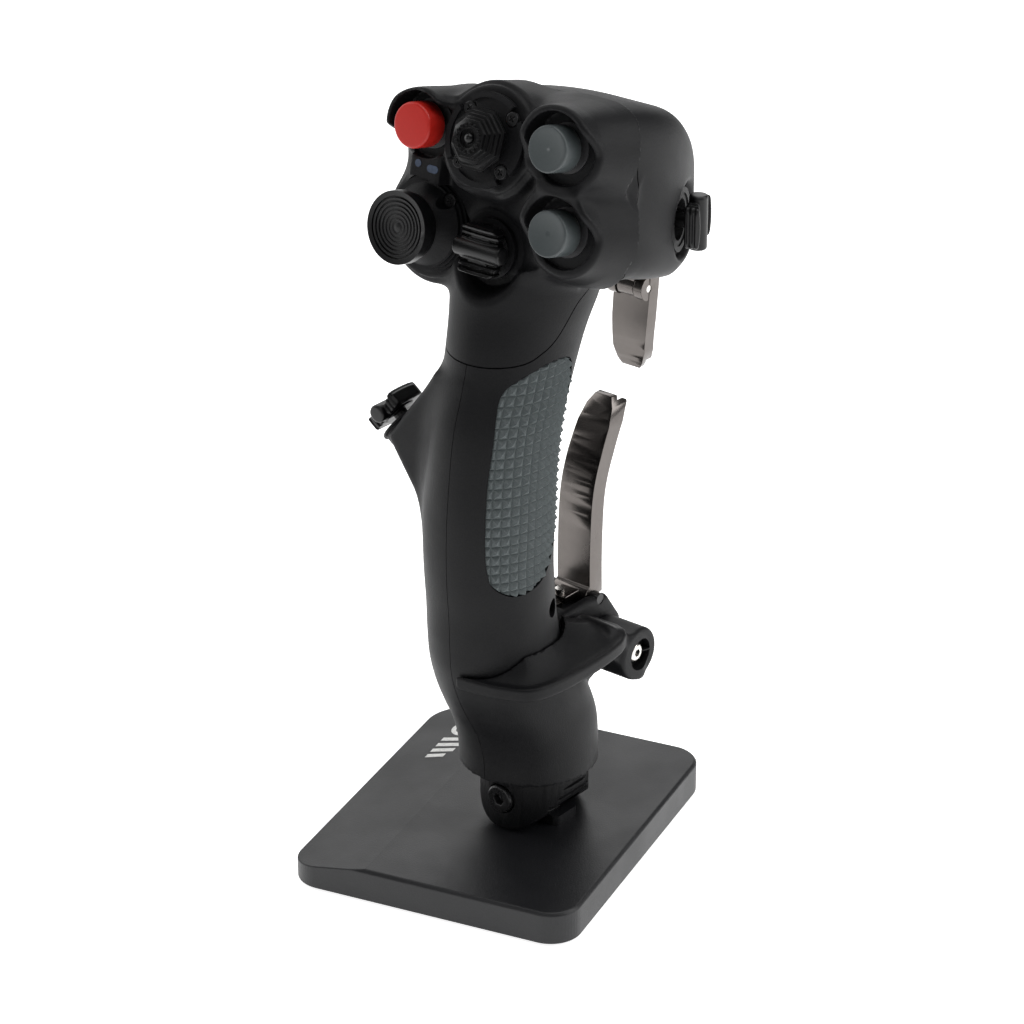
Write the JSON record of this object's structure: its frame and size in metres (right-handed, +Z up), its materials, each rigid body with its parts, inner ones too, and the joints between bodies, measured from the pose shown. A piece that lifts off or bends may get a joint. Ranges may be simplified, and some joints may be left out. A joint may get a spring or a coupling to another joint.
{
  "type": "flight joystick",
  "caption": "Right-handed flight grip on a flat stand, with thumb hats, push buttons, a folding trigger, a brake lever and an adjustable hand rest.",
  "frame": {"origin": "on the desk plane, under the grip's stem axis, on the anti-slip pad's underside", "axes": "+Z up, +Y away from the user, +X to the user's right"},
  "size_m": [0.1032, 0.1141, 0.2311],
  "materials": {
    "black_metal": "fine satin texture",
    "black_plastic": "fine matte texture",
    "black_steel": "blackened",
    "board_green": "satin",
    "bright_steel": "bright",
    "dark_chrome": "smoky chrome",
    "grey_plastic": "satin",
    "inner_plastic": "matte",
    "lens_blue": "gloss",
    "pad_rubber": "matte",
    "panel_rubber": "matte, knurled",
    "red_plastic": "satin",
    "satin_black": "satin",
    "wire_grey": "matte"
  },
  "bodies": {
    "stand": {"stand_plate": "black_metal", "anti_slip_pad": "pad_rubber", "stand_post": "black_metal", "stand_screws": "black_steel", "cant_screw": "black_steel"},
    "hand_rest": {"hand_rest": "black_plastic"},
    "brake": {"brake_lever": "dark_chrome", "brake_magnet": "bright_steel"},
    "trigger_crank": {"trigger_arm": "dark_chrome", "fold_pin": "bright_steel"},
    "trigger_finger": {"trigger_blade": "dark_chrome"},
    "red_button": {"red_button_cap": "red_plastic"},
    "upper_button": {"upper_button_cap": "grey_plastic"},
    "lower_button": {"lower_button_cap": "grey_plastic"},
    "centre_hat_ring": {"centre_hat_gimbal": "inner_plastic"},
    "centre_hat_swivel": {"centre_hat_carrier": "inner_plastic"},
    "centre_hat": {"centre_hat_cap": "satin_black"},
    "castle_hat_ring": {"castle_hat_gimbal": "inner_plastic"},
    "castle_hat_swivel": {"castle_hat_carrier": "inner_plastic"},
    "castle_hat": {"castle_hat_cap": "satin_black"},
    "thumbstick_ring": {"thumbstick_gimbal": "inner_plastic"},
    "thumbstick_swivel": {"thumbstick_carrier": "inner_plastic"},
    "thumbstick": {"thumbstick_cap": "satin_black"},
    "side_hat_ring": {"side_hat_gimbal": "inner_plastic"},
    "side_hat_swivel": {"side_hat_carrier": "inner_plastic"},
    "side_hat": {"side_hat_cap": "satin_black"},
    "rear_hat_ring": {"rear_hat_gimbal": "inner_plastic"},
    "rear_hat_swivel": {"rear_hat_carrier": "inner_plastic"},
    "rear_hat": {"rear_hat_cap": "satin_black"},
    "grip": {"adapter_knuckle": "black_plastic", "brake_pin": "bright_steel", "brake_spring": "bright_steel", "castle_hat_base": "black_plastic", "centre_hat_base": "black_plastic", "face_bezel": "black_plastic", "grip_panel_left": "panel_rubber", "grip_panel_right": "panel_rubber", "hand_rest_bolt": "bright_steel", "hand_rest_nut": "bright_steel", "hat_screws": "black_steel", "indicator_lenses": "lens_blue", "left_shell": "black_plastic", "lower_button_switch": "inner_plastic", "lower_connector": "inner_plastic", "main_board": "board_green", "rear_hat_base": "black_plastic", "red_button_switch": "inner_plastic", "right_shell": "black_plastic", "shell_screws": "black_steel", "side_hat_base": "black_plastic", "thumbstick_base": "black_plastic", "trigger_bracket": "inner_plastic", "trigger_pin": "bright_steel", "trigger_spring": "bright_steel", "trigger_switch": "inner_plastic", "upper_button_switch": "inner_plastic", "wire_harness": "wire_grey"}
  },
  "joints": [
    {"name": "grip_cant", "type": "hinge", "parent": "stand", "child": "grip", "pos_m": [0, 0, 0.02], "axis": [0, 1, 0], "range_deg": [-8, 8]},
    {"name": "hand_rest_tilt", "type": "hinge", "parent": "grip", "child": "hand_rest", "pos_m": [0, 0.019, 0.0586], "axis": [1, 0, 0], "range_deg": [-1, 5]},
    {"name": "brake_squeeze", "type": "hinge", "parent": "grip", "child": "brake", "pos_m": [0, 0.0185, 0.0715], "axis": [1, 0, 0], "range_deg": [0, 15], "stiffness_Nm_per_rad": 0.6, "springref_deg": -5.73, "deforming": ["brake_spring"]},
    {"name": "trigger_pull", "type": "hinge", "parent": "grip", "child": "trigger_crank", "pos_m": [0, 0.038, 0.178], "axis": [-1, 0, 0], "range_deg": [0, 12], "stiffness_Nm_per_rad": 0.4, "springref_deg": -5.73, "deforming": ["trigger_spring"]},
    {"name": "trigger_fold", "type": "hinge", "parent": "trigger_crank", "child": "trigger_finger", "pos_m": [0, 0.042, 0.156], "axis": [1, 0, 0], "range_deg": [0, 70]},
    {"name": "red_button_press", "type": "slide", "parent": "grip", "child": "red_button", "axis": [0, 0.9781, -0.2079], "range_m": [0, 0.0018], "stiffness_N_per_m": 900, "springref_m": -0.0012},
    {"name": "upper_button_press", "type": "slide", "parent": "grip", "child": "upper_button", "axis": [0, 0.9703, -0.2419], "range_m": [0, 0.0018], "stiffness_N_per_m": 900, "springref_m": -0.0012},
    {"name": "lower_button_press", "type": "slide", "parent": "grip", "child": "lower_button", "axis": [0, 0.9703, -0.2419], "range_m": [0, 0.0018], "stiffness_N_per_m": 900, "springref_m": -0.0012},
    {"name": "centre_hat_tilt", "type": "hinge", "parent": "grip", "child": "centre_hat_ring", "pos_m": [0, -0.01708, 0.21387], "axis": [1, 0, 0], "range_deg": [-8, 8], "stiffness_Nm_per_rad": 0.05},
    {"name": "centre_hat_sway", "type": "hinge", "parent": "centre_hat_ring", "child": "centre_hat_swivel", "pos_m": [0, -0.01708, 0.21387], "axis": [0, 0.342, 0.9397], "range_deg": [-8, 8], "stiffness_Nm_per_rad": 0.05},
    {"name": "centre_hat_push", "type": "slide", "parent": "centre_hat_swivel", "child": "centre_hat", "axis": [0, 0.9397, -0.342], "range_m": [0, 0.0005], "stiffness_N_per_m": 1200, "springref_m": -0.0008},
    {"name": "castle_hat_tilt", "type": "hinge", "parent": "grip", "child": "castle_hat_ring", "pos_m": [0, -0.01485, 0.18448], "axis": [1, 0, 0], "range_deg": [-8, 8], "stiffness_Nm_per_rad": 0.05},
    {"name": "castle_hat_sway", "type": "hinge", "parent": "castle_hat_ring", "child": "castle_hat_swivel", "pos_m": [0, -0.01485, 0.18448], "axis": [0, 0.1736, 0.9848], "range_deg": [-8, 8], "stiffness_Nm_per_rad": 0.05},
    {"name": "castle_hat_push", "type": "slide", "parent": "castle_hat_swivel", "child": "castle_hat", "axis": [0, 0.9848, -0.1736], "range_m": [0, 0.0005], "stiffness_N_per_m": 1200, "springref_m": -0.0008},
    {"name": "thumbstick_tilt", "type": "hinge", "parent": "grip", "child": "thumbstick_ring", "pos_m": [-0.021, -0.01467, 0.18608], "axis": [1, 0, 0], "range_deg": [-9, 9], "stiffness_Nm_per_rad": 0.05},
    {"name": "thumbstick_sway", "type": "hinge", "parent": "thumbstick_ring", "child": "thumbstick_swivel", "pos_m": [-0.021, -0.01467, 0.18608], "axis": [0, 0.2079, 0.9781], "range_deg": [-9, 9], "stiffness_Nm_per_rad": 0.05},
    {"name": "thumbstick_push", "type": "slide", "parent": "thumbstick_swivel", "child": "thumbstick", "axis": [0, 0.9781, -0.2079], "range_m": [0, 0.0005], "stiffness_N_per_m": 1200, "springref_m": -0.0008},
    {"name": "side_hat_tilt", "type": "hinge", "parent": "grip", "child": "side_hat_ring", "pos_m": [0.0246, 0.02403, 0.1866], "axis": [-0.3584, 0.9336, 0], "range_deg": [-8, 8], "stiffness_Nm_per_rad": 0.05},
    {"name": "side_hat_sway", "type": "hinge", "parent": "side_hat_ring", "child": "side_hat_swivel", "pos_m": [0.0246, 0.02403, 0.1866], "axis": [0, 0, 1], "range_deg": [-8, 8], "stiffness_Nm_per_rad": 0.05},
    {"name": "side_hat_push", "type": "slide", "parent": "side_hat_swivel", "child": "side_hat", "axis": [-0.9336, -0.3584, 0], "range_m": [0, 0.0005], "stiffness_N_per_m": 1200, "springref_m": -0.0008},
    {"name": "rear_hat_tilt", "type": "hinge", "parent": "grip", "child": "rear_hat_ring", "pos_m": [-0.02611, -0.0195, 0.12679], "axis": [0, -1, 0], "range_deg": [-8, 8], "stiffness_Nm_per_rad": 0.05},
    {"name": "rear_hat_sway", "type": "hinge", "parent": "rear_hat_ring", "child": "rear_hat_swivel", "pos_m": [-0.02611, -0.0195, 0.12679], "axis": [0.6046, 0, 0.7965], "range_deg": [-8, 8], "stiffness_Nm_per_rad": 0.05},
    {"name": "rear_hat_push", "type": "slide", "parent": "rear_hat_swivel", "child": "rear_hat", "axis": [0.7965, 0, -0.6046], "range_m": [0, 0.0005], "stiffness_N_per_m": 1200, "springref_m": -0.0008}
  ]
}
